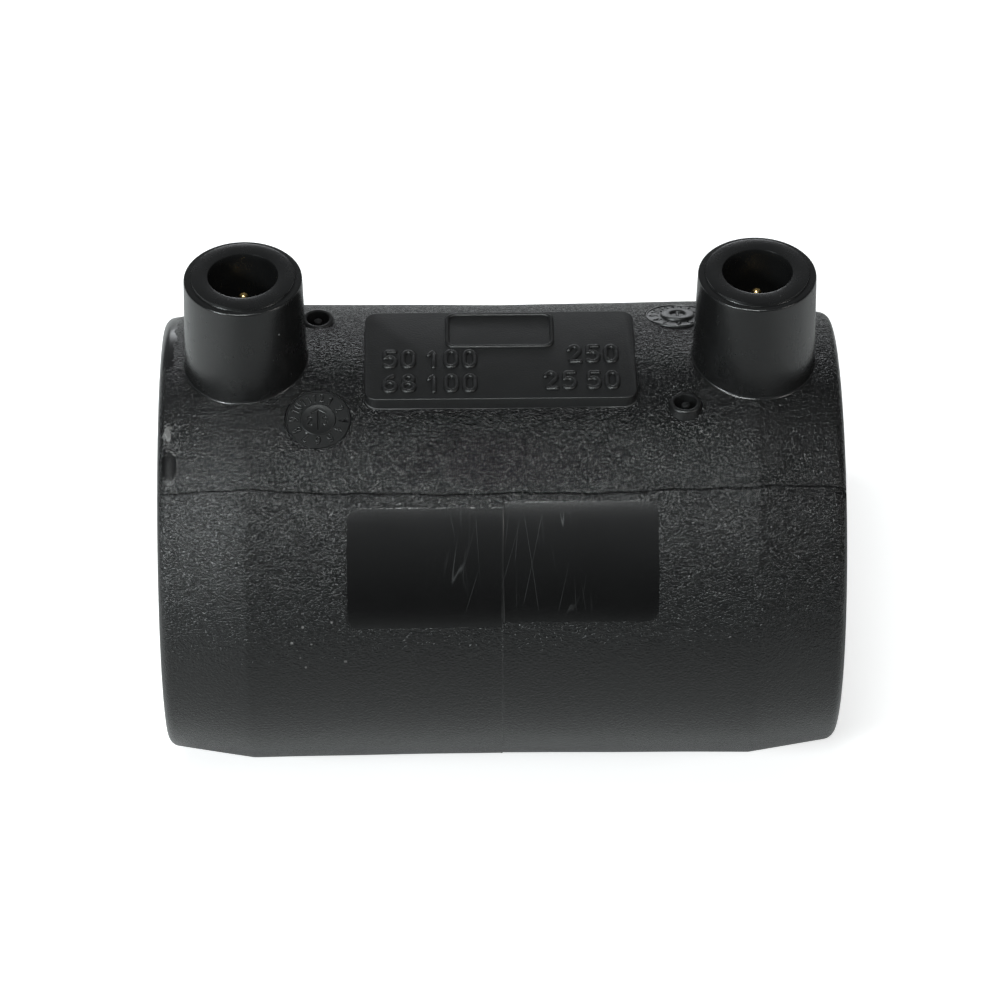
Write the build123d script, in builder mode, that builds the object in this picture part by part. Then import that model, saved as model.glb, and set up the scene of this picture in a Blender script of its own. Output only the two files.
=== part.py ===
"""Electrofusion coupler for 50 mm polyethylene pipe, with a buried heating wire and two shrouded terminals.

The pipe axis is X, the terminals point up along +Z, and the origin is on the pipe axis half way along.
Lengths are in millimetres and angles in degrees.
"""
import math
import os

from build123d import *

os.makedirs("parts", exist_ok=True)

# ---- pipe and socket ----
pipe_diameter = 50.0
pipe_clearance = 0.4  # radial, between the pipe and the socket wall
body_length = 100.0
stop_height = 2.4  # how far the ring that the pipe ends meet stands in from the socket wall
stop_width = 3.0
stop_bevel = 0.8
lead_in = 1.6  # chamfer at each mouth

# ---- outer form, as the wall's thickness round the socket ----
shoulder_wall = 8.75  # under the terminals
waist_wall = 8.43  # half way along
mouth_wall = 6.7  # at the end faces
mouth_rounding = 1.6

# ---- terminal shrouds ----
terminal_station = 37.2  # along the pipe axis, from the middle
shroud_rise = 15.25  # from the shoulder to the rim
shroud_radius = 8.58
shroud_draft = 0.45  # how much wider the shroud is at its root
shroud_bore_radius = 5.0
shroud_depth = 13.0  # rim to floor
rim_step = 0.45  # height of the raised ring round the mouth
rim_ledge = 1.0  # width of the ledge round the raised ring
rim_bevel = 0.3
shroud_fillet = 0.5

# ---- terminal pins ----
pin_diameter = 4.0
pin_recess = 3.3  # from the rim down to the tip
pin_cone = 1.2
nib_radius = 0.75
nib_height = 1.3
nib_bevel = 0.3
collar_radius = 3.0
collar_height = 0.8
foot_radius = 2.6
foot_length = 4.8  # below the collar, moulded into the wall
foot_ribs = 2
foot_rib_depth = 0.4
seat_clearance = 0.02  # round what is moulded into the wall

# ---- heating wire ----
wire_diameter = 0.8
wire_flats = 6  # the round wire is drawn with this many flats
wire_cover = 0.3  # polyethylene between the wire and the socket wall
turns_each_side = 4
coil_inner_end = 14.0  # from the middle, where each heated zone stops
lead_bend = 2.0
lead_socket_depth = 1.8  # how far each lead goes up into its pin

# ---- plate on the crown ----
plate_setback = 17.4  # along the pipe, from a terminal to the plate's end
plate_width = 20.0
plate_rise = 0.32  # of the plate's flat face over the waist
plate_corner = 1.8
plate_edge = 0.3

# ---- fusion indicators ----
indicator_setback = 10.4  # along the pipe, from a terminal
indicator_offset = 10.0  # across the pipe
indicator_rise = 0.64  # of the ring over the wall beside it
indicator_radius = 2.3
indicator_draft = 0.25
indicator_well_radius = 1.65
indicator_well_depth = 2.8
indicator_stub_radius = 0.65
indicator_stub_recess = 0.35

# ---- date dials ----
dial_setback = 10.6  # along the pipe, from a terminal
dial_angle = 20.0  # round the pipe axis, from the vertical
dial_radius = 4.8
dial_disc_radius = 2.5
dial_sink = 0.2  # from the outer surface down to the dial's flat face
dial_disc_rise = 0.12

# ---- label field on the front ----
label_length = 45.3
label_low = 17.1  # round the pipe axis, from the horizontal
label_high = 47.7
label_corner = 1.8
label_sink = 0.25

# ---- how far a form that stands on the wall reaches down into it ----
rooted = 1.0

# ---- what follows from these ----
half_length = body_length / 2
socket_radius = pipe_diameter / 2 + pipe_clearance
stop_inner_radius = socket_radius - stop_height
shoulder_radius = socket_radius + shoulder_wall
waist_radius = socket_radius + waist_wall
mouth_radius = socket_radius + mouth_wall
shroud_height = shoulder_radius + shroud_rise
shroud_floor = shroud_height - shroud_depth
pin_radius = pin_diameter / 2
pin_tip = shroud_height - pin_recess
foot_bottom = shroud_floor - foot_length
wire_radius = wire_diameter / 2
coil_radius = socket_radius + wire_cover + wire_radius
coil_pitch = (terminal_station - coil_inner_end) / turns_each_side
lead_angle = math.degrees(math.asin(lead_bend / (coil_radius + lead_bend)))
lead_centre = (coil_radius + lead_bend) * math.cos(math.radians(lead_angle))
lead_top = foot_bottom + lead_socket_depth
shroud_root = shoulder_radius * math.cos(math.asin(shroud_radius / shoulder_radius)) - 2 * rooted
plate_length = 2 * (terminal_station - plate_setback)
plate_level = waist_radius + plate_rise
indicator_station = terminal_station - indicator_setback
indicator_level = math.sqrt(shoulder_radius**2 - indicator_offset**2) + indicator_rise
dial_station = terminal_station - dial_setback
indicator_root = indicator_level - indicator_well_depth - rooted
base = (Align.CENTER, Align.CENTER, Align.MIN)
sides = {"left": -1, "right": 1}


def upright(x, y=0.0):
    """A vertical plane along the pipe axis through a point: its x is the pipe's and its y is up."""
    return Plane(origin=(x, y, 0), x_dir=(1, 0, 0), z_dir=(0, -1, 0))


def vertical_axis(x, y=0.0):
    """The vertical line through a point."""
    return Axis((x, y, 0), (0, 0, 1))


def facing_out(x, angle, distance):
    """A plane square to a radius of the pipe, at an angle from the vertical, positive to the back."""
    around = math.radians(angle)
    outward = Vector(0, math.sin(around), math.cos(around))
    return Plane(origin=Vector(x, 0, 0) + outward * distance, x_dir=(1, 0, 0), z_dir=outward)


def round_axis(x, angle):
    """A point on the wire's centre line, at an angle from the vertical, positive to the back."""
    around = math.radians(angle)
    return Vector(x, coil_radius * math.sin(around), coil_radius * math.cos(around))


# ---- the wire's centre line: a lead, a coil, the crossing, a coil and a lead ----
left_coil = [half * coil_pitch / 2 - terminal_station for half in range(2 * turns_each_side + 1)]
right_coil = [-x for x in reversed(left_coil)]
coil_stations = left_coil + [0.0] + right_coil

with BuildLine() as wire_line:
    lead_run = Line((-terminal_station, 0, lead_top), (-terminal_station, 0, lead_centre))
    coil_start = round_axis(-terminal_station, lead_angle)
    bend = TangentArc(lead_run @ 1, coil_start, tangent=lead_run % 1)
    turn = TangentArc(bend @ 1, (coil_stations[1], 0, -coil_radius), tangent=bend % 1)
    for half, station in enumerate(coil_stations[2:-1], start=2):
        top = 1 if half % 2 == 0 else -1
        turn = TangentArc(turn @ 1, (station, 0, top * coil_radius), tangent=(0, top * -1, 0))
    coil_end = round_axis(terminal_station, -lead_angle)
    turn = TangentArc(turn @ 1, coil_end, tangent=(0, -1, 0))
    bend = TangentArc(turn @ 1, (terminal_station, 0, lead_centre), tangent=turn % 1)
    Line(bend @ 1, (terminal_station, 0, lead_top))

# ---- heating wire ----
with BuildPart() as wire:
    with BuildSketch(Plane(origin=wire_line.line @ 0, x_dir=(1, 0, 0), z_dir=(0, 0, -1))):
        RegularPolygon(wire_radius, wire_flats)
    sweep(path=wire_line.line)

# ---- the passage that the wire leaves in the wall ----
with BuildPart() as wire_passage:
    with BuildSketch(Plane(origin=wire_line.line @ 0, x_dir=(1, 0, 0), z_dir=(0, 0, -1))):
        RegularPolygon(wire_radius + seat_clearance, wire_flats)
    sweep(path=wire_line.line)


def terminal_foot(x, grown=0.0, mode=Mode.ADD):
    """The ribbed foot and collar of a terminal, or the seat it leaves in the wall when grown."""
    collar_bottom = shroud_floor - collar_height
    rib_height = (collar_bottom - foot_bottom) / (2 * foot_ribs)
    with Locations((x, 0, foot_bottom - grown)):
        core_length = collar_bottom - foot_bottom + grown
        Cylinder(foot_radius - foot_rib_depth + grown, core_length, align=base, mode=mode)
    for rib in range(foot_ribs):
        with Locations((x, 0, foot_bottom + 2 * rib * rib_height - grown)):
            Cylinder(foot_radius + grown, rib_height + 2 * grown, align=base, mode=mode)
    with Locations((x, 0, collar_bottom - grown)):
        Cylinder(collar_radius + grown, collar_height + grown, align=base, mode=mode)


# ---- terminal pins ----
for side, direction in sides.items():
    x = direction * terminal_station
    shank_top = pin_tip - nib_height - pin_cone
    with BuildPart() as pin:
        terminal_foot(x)
        with BuildSketch(upright(x)):
            with BuildLine():
                Polyline(
                    (0, shroud_floor),
                    (pin_radius, shroud_floor),
                    (pin_radius, shank_top),
                    (nib_radius, shank_top + pin_cone),
                    (nib_radius, pin_tip),
                    (0, pin_tip),
                    close=True,
                )
            make_face()
            chamfer(vertices().group_by(Axis.Y)[-1].sort_by(Axis.X)[-1], nib_bevel)
        revolve(axis=vertical_axis(x))
        with BuildSketch(Plane.XY.offset(foot_bottom)):
            with Locations((x, 0)):
                Circle(wire_radius + seat_clearance)
        extrude(amount=lead_socket_depth + seat_clearance, mode=Mode.SUBTRACT)
    pin.part.label = f"terminal_pin_{side}"
    export_step(pin.part, f"parts/terminal_pin_{side}.step")

# ---- the block that sinks the label field ----
label_middle = (label_low + label_high) / 2 - 90
label_height = 2 * waist_radius * math.sin(math.radians((label_high - label_low) / 2))
with BuildPart() as label_block:
    with BuildSketch(facing_out(0, label_middle, shoulder_radius)):
        RectangleRounded(label_length, label_height, label_corner)
    extrude(amount=label_sink - label_height / 4)
    Cylinder(waist_radius - label_sink, body_length, rotation=(0, 90, 0), mode=Mode.SUBTRACT)

# ---- coupler body ----
with BuildPart() as body:
    # the tube, with its stop ring and tapered ends
    with BuildSketch(upright(0)):
        with BuildLine():
            Polyline(
                (0, waist_radius),
                (terminal_station, shoulder_radius),
                (half_length, mouth_radius),
                (half_length, socket_radius + lead_in),
                (half_length - lead_in, socket_radius),
                (stop_width / 2 + stop_bevel, socket_radius),
                (stop_width / 2, stop_inner_radius),
                (-stop_width / 2, stop_inner_radius),
                (-stop_width / 2 - stop_bevel, socket_radius),
                (-half_length + lead_in, socket_radius),
                (-half_length, socket_radius + lead_in),
                (-half_length, mouth_radius),
                (-terminal_station, shoulder_radius),
                close=True,
            )
        make_face()
        mouths = vertices().group_by(Axis.X)
        fillet([mouths[0].sort_by(Axis.Y)[-1], mouths[-1].sort_by(Axis.Y)[-1]], mouth_rounding)
    revolve(axis=Axis.X)

    # the plate on the crown
    plate_drop = waist_radius - math.sqrt(waist_radius**2 - (plate_width / 2) ** 2)
    with BuildSketch(Plane.XY.offset(plate_level)):
        RectangleRounded(plate_length, plate_width, plate_corner)
    extrude(amount=-(plate_level - waist_radius + plate_drop + rooted))
    fillet(faces().filter_by(Plane.XY).sort_by(Axis.Z)[-1].edges(), plate_edge)

    # the date dials: each is a flat face a little below the crest of the tube, with a raised disc
    for direction in sides.values():
        station_radius = waist_radius + (shoulder_radius - waist_radius) * dial_station / terminal_station
        dial_plane = facing_out(direction * dial_station, direction * dial_angle, station_radius - dial_sink)
        with BuildSketch(dial_plane):
            Circle(dial_radius)
        extrude(amount=2 * dial_sink, mode=Mode.SUBTRACT)
        with BuildSketch(dial_plane):
            Circle(dial_radius)
        extrude(amount=-rooted)
        with BuildSketch(dial_plane):
            Circle(dial_disc_radius)
        extrude(amount=dial_disc_rise)

    # the fusion indicators: each is a raised ring with a blind well and a stub left standing in it
    for direction in sides.values():
        x = direction * indicator_station
        y = -direction * indicator_offset
        well_floor = indicator_level - indicator_well_depth
        with BuildSketch(upright(x, y)):
            with BuildLine():
                Polyline(
                    (0, indicator_root),
                    (indicator_radius + indicator_draft, indicator_root),
                    (indicator_radius, indicator_level),
                    (indicator_well_radius, indicator_level),
                    (indicator_well_radius, well_floor),
                    (indicator_stub_radius, well_floor),
                    (indicator_stub_radius, indicator_level - indicator_stub_recess),
                    (0, indicator_level - indicator_stub_recess),
                    close=True,
                )
            make_face()
        with Locations((x, y, well_floor)):
            Cylinder(indicator_well_radius, indicator_well_depth, align=base, mode=Mode.SUBTRACT)
        revolve(axis=vertical_axis(x, y))

    # the terminal shrouds, over the ends of the heated zones
    for direction in sides.values():
        x = direction * terminal_station
        with BuildSketch(upright(x)):
            with BuildLine():
                Polyline(
                    (0, shroud_root),
                    (shroud_radius + shroud_draft, shroud_root),
                    (shroud_radius, shroud_height - rim_step),
                    (shroud_radius - rim_ledge, shroud_height - rim_step),
                    (shroud_radius - rim_ledge, shroud_height),
                    (0, shroud_height),
                    close=True,
                )
            make_face()
            chamfer(vertices().group_by(Axis.Y)[-2].sort_by(Axis.X)[-1], rim_bevel)
            chamfer(vertices().group_by(Axis.Y)[-1].sort_by(Axis.X)[-1], rim_bevel / 2)
        revolve(axis=vertical_axis(x))
        foot_of_shroud = edges(Select.NEW).filter_by_position(Axis.Z, shroud_root, shoulder_radius)
        fillet(foot_of_shroud, shroud_fillet)
        with Locations((x, 0, shroud_floor)):
            Cylinder(shroud_bore_radius, shroud_depth, align=base, mode=Mode.SUBTRACT)
        terminal_foot(x, seat_clearance, mode=Mode.SUBTRACT)

    # the label field and the wire's passage
    add(label_block.part, mode=Mode.SUBTRACT)
    add(wire_passage.part, mode=Mode.SUBTRACT)

body.part.label = "coupler_body"
wire.part.label = "heating_wire"
export_step(body.part, "parts/coupler_body.step")
export_step(wire.part, "parts/heating_wire.step")
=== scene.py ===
"""Looks of an electrofusion coupler: a black polyethylene sleeve with two shrouded terminals.

The pipe axis is X, the terminals point up along +Z and the front is -Y. Sizes in the classes are in
millimetres and angles in degrees; meshes are made in metres. Angles round the pipe start at the crown
and are positive to the back.
"""
import logging
import math
from dataclasses import dataclass, field
from enum import Enum
from typing import Any, Callable, Sequence

import bpy
import numpy as np
from bpy.types import Material, Node, NodeSocket, Object
from mathutils import Matrix, Vector


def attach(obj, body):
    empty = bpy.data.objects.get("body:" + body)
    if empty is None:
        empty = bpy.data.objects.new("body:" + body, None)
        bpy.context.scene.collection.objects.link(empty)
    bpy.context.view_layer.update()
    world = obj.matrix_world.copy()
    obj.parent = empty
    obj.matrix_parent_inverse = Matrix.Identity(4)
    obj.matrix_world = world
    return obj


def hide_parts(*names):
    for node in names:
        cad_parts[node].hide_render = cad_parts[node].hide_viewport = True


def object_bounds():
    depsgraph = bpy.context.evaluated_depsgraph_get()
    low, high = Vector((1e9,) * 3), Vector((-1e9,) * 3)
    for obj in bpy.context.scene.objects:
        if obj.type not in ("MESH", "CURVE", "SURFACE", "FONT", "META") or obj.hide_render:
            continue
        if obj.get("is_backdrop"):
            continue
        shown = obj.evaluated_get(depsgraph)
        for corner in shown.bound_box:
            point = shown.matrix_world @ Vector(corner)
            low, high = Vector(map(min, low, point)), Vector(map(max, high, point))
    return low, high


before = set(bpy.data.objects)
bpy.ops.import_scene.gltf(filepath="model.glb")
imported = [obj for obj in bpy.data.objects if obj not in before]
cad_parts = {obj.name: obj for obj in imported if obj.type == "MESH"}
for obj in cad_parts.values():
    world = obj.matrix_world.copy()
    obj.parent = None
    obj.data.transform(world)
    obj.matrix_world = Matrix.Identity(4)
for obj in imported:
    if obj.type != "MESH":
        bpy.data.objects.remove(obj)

MM = 0.001
LOG = logging.getLogger("coupler")
BROAD_SHARP, FINE_SHARP = 40.0, 60.0  # edges that turn more degrees than this stay sharp
Point2 = tuple[float, float]
Point3 = tuple[float, float, float]
Colour = tuple[float, float, float]
Stroke = list[Point2]


class Slot(Enum):
    """The record's material slots."""

    PLASTIC = "polyethylene"
    WIRE = "resistance_wire"
    BRASS = "terminal_brass"


class Side(Enum):
    """The two ends of the coupler, as the sign of X."""

    LEFT = -1
    RIGHT = 1

    @property
    def word(self) -> str:
        """The side's name as pieces carry it."""
        return self.name.lower()


# ---------------------------------------------------------------- shader building


def operator(operation: str, swapped: bool = False) -> Callable[..., "Value"]:
    """Make a method that adds a Math node to a Value.

    Args:
        operation: the node's operation.
        swapped: whether the other term comes first.

    Returns:
        The method, which takes the other term where the operation has one.
    """

    def method(value: "Value", *others: Any) -> "Value":
        """Add the node and wrap its result."""
        terms = (*others, value) if swapped else (value, *others)
        node = value.shader.node("ShaderNodeMath", {"operation": operation}, dict(enumerate(terms)))
        return Value(value.shader, node.outputs[0])

    return method


class Value:
    """One number in a material's node tree. Arithmetic on it adds Math nodes."""

    def __init__(self, shader: "Shader", socket: NodeSocket) -> None:
        """Wrap an output socket of a shader's tree."""
        self.shader = shader
        self.socket = socket

    __add__ = __radd__ = operator("ADD")
    __sub__, __rsub__ = operator("SUBTRACT"), operator("SUBTRACT", swapped=True)
    __mul__ = __rmul__ = operator("MULTIPLY")
    __truediv__, __rtruediv__ = operator("DIVIDE"), operator("DIVIDE", swapped=True)
    __abs__ = operator("ABSOLUTE")
    at_least = operator("MAXIMUM")  # the larger of two
    at_most = operator("MINIMUM")  # the smaller of two
    root = operator("SQRT")
    over = operator("GREATER_THAN")  # 1 where the value is over a limit, else 0
    angle_from = operator("ARCTAN2")  # the angle whose tangent is self over other, in radians
    fraction = operator("FRACT")  # what is left after the whole part is taken off

    def __neg__(self) -> "Value":
        """Negative."""
        return self * -1.0

    def ramp(self, low: float, high: float, start: float = 0.0, end: float = 1.0) -> "Value":
        """A smooth step.

        Args:
            low: where it starts.
            high: where it ends; it may be under low.
            start: the result before it.
            end: the result after it.

        Returns:
            The stepped value, held at start and end outside.
        """
        if low > high:
            low, high, start, end = high, low, end, start
        inputs = {0: self, 1: low, 2: high, 3: start, 4: end}
        node = self.shader.node("ShaderNodeMapRange", {"interpolation_type": "SMOOTHSTEP"}, inputs)
        return Value(self.shader, node.outputs[0])


class Shader:
    """A material, or the surround, under construction."""

    def __init__(self, name: str, surround: bool = False) -> None:
        """Start a material, or a world, with only its output node."""
        self.result = (bpy.data.worlds if surround else bpy.data.materials).new(name)
        self.result.use_nodes = True
        self.tree = self.result.node_tree
        self.tree.nodes.clear()
        self.output = self.node("ShaderNodeOutputWorld" if surround else "ShaderNodeOutputMaterial")

    def node(
        self, kind: str, settings: dict[str, Any] | None = None, inputs: dict[Any, Any] | None = None
    ) -> Node:
        """Add a node.

        Args:
            kind: the node's type.
            settings: its settings, set before its sockets.
            inputs: socket name or number against a Value, a socket or a plain value.

        Returns:
            The node.
        """
        node = self.tree.nodes.new(kind)
        for key, value in (settings or {}).items():
            setattr(node, key, value)
        for key, value in (inputs or {}).items():
            source = value.socket if isinstance(value, Value) else value
            if isinstance(source, NodeSocket):
                self.tree.links.new(source, node.inputs[key])
            else:
                node.inputs[key].default_value = source
        return node

    def split(self, vector: NodeSocket) -> tuple[Value, Value, Value]:
        """The three numbers of a vector."""
        parts = self.node("ShaderNodeSeparateXYZ", {}, {0: vector})
        return tuple(Value(self, socket) for socket in parts.outputs)

    def place(self) -> tuple[Value, Value, Value, NodeSocket]:
        """Where the surface is in millimetres: the three numbers and the vector of them."""
        x, y, z = (v / MM for v in self.split(self.node("ShaderNodeTexCoord").outputs["Object"]))
        return x, y, z, self.vector(x, y, z)

    def vector(self, x: Any, y: Any, z: Any) -> NodeSocket:
        """A vector from three numbers."""
        return self.node("ShaderNodeCombineXYZ", {}, {0: x, 1: y, 2: z}).outputs[0]

    def noise(
        self, place: Any, size: float, detail: float = 2.0, roughness: float = 0.5, distortion: float = 0.0
    ) -> Value:
        """Soft noise about a half.

        Args:
            place: the vector to read it at, in millimetres.
            size: how large its patches are, in millimetres.
            detail: how many finer layers it has.
            roughness: how strong they are.
            distortion: how far they are pulled about.

        Returns:
            The noise, from 0 to 1.
        """
        inputs = {"Vector": place, "Scale": 1.0 / size, "Detail": detail}
        inputs |= {"Roughness": roughness, "Distortion": distortion}
        return Value(self, self.node("ShaderNodeTexNoise", {}, inputs).outputs[0])

    def cells(self, place: Any, size: float) -> Value:
        """Distance to the nearest of points scattered a size in millimetres apart, near 1 between them."""
        node = self.node("ShaderNodeTexVoronoi", {"feature": "F1"}, {"Vector": place, "Scale": 1.0 / size})
        return Value(self, node.outputs["Distance"])

    def mix(self, share: Any, first: Any, second: Any) -> NodeSocket:
        """Blend two colours, with a share of the second; each is a socket or four numbers."""
        node = self.node("ShaderNodeMix", {"data_type": "RGBA"}, {0: share, 6: first, 7: second})
        return node.outputs[2]

    def bump(self, height: Value, distance: float) -> NodeSocket:
        """A normal bent by a height, where a height of 1 is a distance in millimetres."""
        inputs = {"Strength": 1.0, "Distance": distance * MM, "Height": height}
        return self.node("ShaderNodeBump", {}, inputs).outputs[0]

    def blend(self, share: Any, first: Node, second: Node) -> Node:
        """Blend two surfaces, with a share of the second."""
        inputs = {0: share, 1: first.outputs[0], 2: second.outputs[0]}
        return self.node("ShaderNodeMixShader", {}, inputs)

    def close(self, surface: Node) -> Any:
        """Put a surface on the output and hand over the material or world."""
        self.tree.links.new(surface.outputs[0], self.output.inputs[0])
        return self.result

    def close_split(self, others: Node, camera: Node) -> Any:
        """Close the tree with one surface for the camera and another for all other rays."""
        seen = self.node("ShaderNodeLightPath").outputs["Is Camera Ray"]
        return self.close(self.blend(seen, others, camera))

    def finish(self, pit_shade: Value | None = None, **sockets: Any) -> Material:
        """Close the material with a Principled surface.

        Args:
            pit_shade: painted shade, the share in which the surface's hollows are blended towards a
                near-black matt surface.
            sockets: the surface's sockets, with underscores for spaces.

        Returns:
            The material.
        """
        inputs = {key.replace("_", " "): value for key, value in sockets.items()}
        surface = self.node("ShaderNodeBsdfPrincipled", {}, inputs)
        if pit_shade is not None:
            # painted shade: a near-black matt surface that darkens the hollows
            painted_shade_surface = self.node("ShaderNodeBsdfDiffuse", {}, {"Color": grey(0.002)})
            surface = self.blend(pit_shade, surface, painted_shade_surface)
        return self.close(surface)


def grey(level: float, warmth: float = 0.0) -> tuple[float, float, float, float]:
    """A near-grey colour; warmth over 0 is redder and under 0 bluer."""
    return (level * (1 + warmth), level, level * (1 - warmth), 1.0)


# ---------------------------------------------------------------- mesh building


def circle(segments: int) -> np.ndarray:
    """Points round a flat circle of radius 1."""
    turn = np.linspace(0, 2 * math.pi, segments, endpoint=False)
    return np.column_stack([np.cos(turn), np.sin(turn)])


def lifted(flat: np.ndarray, z: Any) -> np.ndarray:
    """Flat points lifted to one height, or each to its own."""
    return np.column_stack([flat, np.broadcast_to(z, len(flat))])


def pushed(outline: np.ndarray, out: Any) -> np.ndarray:
    """A closed flat outline, anticlockwise, pushed outward."""
    along = np.roll(outline, -1, 0) - np.roll(outline, 1, 0)
    normal = np.stack([along[:, 1], -along[:, 0]], 1)
    normal /= np.linalg.norm(normal, axis=1)[:, None]
    return outline + out * normal


def mound(*ways: tuple[Any, float]) -> Any:
    """A bell-shaped rise, 1 in its middle; each way is a distance from it and a width."""
    return np.exp(-sum((distance / width) ** 2 for distance, width in ways))


def rounding(steps: Sequence[float]) -> list[Point2]:
    """Cosine and sine of each angle in degrees."""
    return [(math.cos(math.radians(a)), math.sin(math.radians(a))) for a in steps]


def enclosed(points: np.ndarray, faces: Sequence[Sequence[int]]) -> float:
    """The volume inside a closed mesh, negative where its faces look inward."""
    total = 0.0
    for size in {len(face) for face in faces}:
        index = np.array([face for face in faces if len(face) == size])
        first = points[index[:, 0]]
        for i in range(1, size - 1):
            turn = np.cross(points[index[:, i]], points[index[:, i + 1]])
            total += float(np.einsum("ij,ij->", first, turn)) / 6
    return total


def linked(name: str, data: Any) -> Object:
    """A new object in the scene."""
    obj = bpy.data.objects.new(name, data)
    bpy.context.scene.collection.objects.link(obj)
    return obj


@dataclass
class Shape:
    """Vertices in millimetres and faces, gathered before they become one object."""

    points: list[np.ndarray] = field(default_factory=list)
    faces: list[tuple[int, ...]] = field(default_factory=list)

    def add(self, points: np.ndarray, faces: Sequence[Sequence[int]]) -> None:
        """Add points, and faces that number them from 0."""
        start = sum(len(part) for part in self.points)
        self.points.append(np.asarray(points, float))
        self.faces.extend(tuple(start + i for i in face) for face in faces)

    def loft(self, rings: Sequence[np.ndarray], closed: bool = False) -> "Shape":
        """Join closed rings of points, each to the next.

        Args:
            rings: rings of the same number of points.
            closed: whether the last joins the first; if not, both are filled.

        Returns:
            The shape itself.
        """
        size = len(rings[0])
        faces: list[tuple[int, ...]] = []
        for row in range(len(rings) if closed else len(rings) - 1):
            a, b = row * size, ((row + 1) % len(rings)) * size
            for i in range(size):
                j = (i + 1) % size
                faces.append((a + i, a + j, b + j, b + i))
        if not closed:
            faces.append(tuple(reversed(range(size))))
            faces.append(tuple(range((len(rings) - 1) * size, len(rings) * size)))
        points = np.concatenate(rings)
        if enclosed(points, faces) < 0:
            faces = [tuple(reversed(face)) for face in faces]
        self.add(points, faces)
        return self

    def lathe(self, profile: Sequence[Point2], segments: int) -> "Shape":
        """Turn a profile of (radius, height) round the Z axis and fill its ends."""
        return self.loft([lifted(circle(segments) * r, z) for r, z in profile])

    def tube(self, path: Any, radius: float, sides: int = 10, closed: bool = False) -> None:
        """Sweep a round section along a path, with domed ends where the path is open.

        Args:
            path: points of the centre line.
            radius: of the section.
            sides: how many the section has.
            closed: whether the path joins itself.
        """
        path = np.asarray(path, float)
        along = np.roll(path, -1, 0) - np.roll(path, 1, 0) if closed else np.gradient(path, axis=0)
        along /= np.linalg.norm(along, axis=1)[:, None]
        across = np.array([0.0, 0.0, 1.0]) if abs(along[0][2]) < 0.9 else np.array([1.0, 0.0, 0.0])
        stations = [(p, t, 1.0, 0.0) for p, t in zip(path, along)]
        if not closed:
            dome = [(math.cos(a), math.sin(a)) for a in (0.35, 0.75, 1.15, 1.5)]
            ahead = [(path[-1], along[-1], c, s) for c, s in dome]
            behind = [(path[0], along[0], c, -s) for c, s in reversed(dome)]
            stations = behind + stations + ahead
        rings = []
        for point, tangent, scale, shift in stations:
            across = across - tangent * float(across @ tangent)
            across /= np.linalg.norm(across)
            section = circle(sides) @ np.array([across, np.cross(tangent, across)])
            rings.append(point + tangent * shift * radius + section * radius * scale)
        self.loft(rings, closed)

    def moved(self, matrix: Matrix) -> "Shape":
        """The same shape, placed by a matrix in millimetres."""
        turn = np.array(matrix)
        return Shape([p @ turn[:3, :3].T + turn[:3, 3] for p in self.points], list(self.faces))

    def build(
        self, name: str, material: Material | None = None, sharp: float = 35.0
    ) -> Object:
        """Make the object.

        Args:
            name: its name.
            material: its material.
            sharp: edges that turn more than this many degrees stay sharp.

        Returns:
            The object, linked to the scene.
        """
        mesh = bpy.data.meshes.new(name)
        mesh.from_pydata((np.concatenate(self.points) * MM).tolist(), [], self.faces)
        if material:
            mesh.materials.append(material)
        obj = linked(name, mesh)
        smoothed(obj, sharp)
        return obj


def smoothed(obj: Object, sharp: float) -> None:
    """Check a mesh and shade it smooth up to an angle in degrees."""
    obj.data.validate()
    obj.data.shade_smooth()
    obj.data.set_sharp_from_angle(angle=math.radians(sharp))


def cut(obj: Object, tool: Object, sharp: float = 35.0, overlapping: bool = False) -> None:
    """Cut one solid with another and drop the tool.

    Args:
        obj: the solid that is kept.
        tool: the solid that cuts it.
        sharp: edges that turn more than this many degrees stay sharp.
        overlapping: whether the tool's own parts run through each other.
    """
    modifier = obj.modifiers.new("cut", "BOOLEAN")
    modifier.object = tool
    modifier.operation = "DIFFERENCE"
    modifier.solver = "EXACT"
    modifier.use_self = overlapping
    bpy.context.view_layer.update()
    graph = bpy.context.evaluated_depsgraph_get()
    mesh = bpy.data.meshes.new_from_object(obj.evaluated_get(graph))
    obj.modifiers.clear()
    name, spare = obj.data.name, (obj.data, tool.data)
    obj.data = mesh
    bpy.data.objects.remove(tool)
    for old in spare:
        bpy.data.meshes.remove(old)
    mesh.name = name
    smoothed(obj, sharp)


def facing_out(x: float, angle: float, distance: float) -> Matrix:
    """A place square to a radius of the pipe, its x along the pipe and its y to the back.

    Args:
        x: along the pipe.
        angle: round the pipe from the crown.
        distance: from the pipe axis.

    Returns:
        The matrix, in millimetres.
    """
    around = math.radians(angle)
    outward = Vector((0, math.sin(around), math.cos(around)))
    back = Vector((0, math.cos(around), -math.sin(around)))
    matrix = Matrix((Vector((1, 0, 0)), back, outward)).transposed().to_4x4()
    matrix.translation = Vector((x, 0, 0)) + outward * distance
    return matrix


def rounded_rectangle(length: float, width: float, corner: float, steps: int = 8) -> np.ndarray:
    """The outline of a rounded rectangle about the origin, anticlockwise."""
    points = []
    for quarter, (sx, sy) in enumerate([(1, 1), (-1, 1), (-1, -1), (1, -1)]):
        centre = np.array([sx * (length / 2 - corner), sy * (width / 2 - corner)])
        turns = rounding(np.linspace(quarter * 90, quarter * 90 + 90, steps + 1))
        points.extend(centre + corner * np.array(turn) for turn in turns)
    return np.array(points)


def subdivided(outline: np.ndarray, step: float) -> np.ndarray:
    """The same closed outline with no side longer than a step."""
    points = []
    for a, b in zip(outline, np.roll(outline, -1, 0)):
        n = max(1, math.ceil(float(np.linalg.norm(b - a)) / step))
        points.extend(a + (b - a) * i / n for i in range(n))
    return np.array(points)


# ---------------------------------------------------------------- plain numbers


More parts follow.
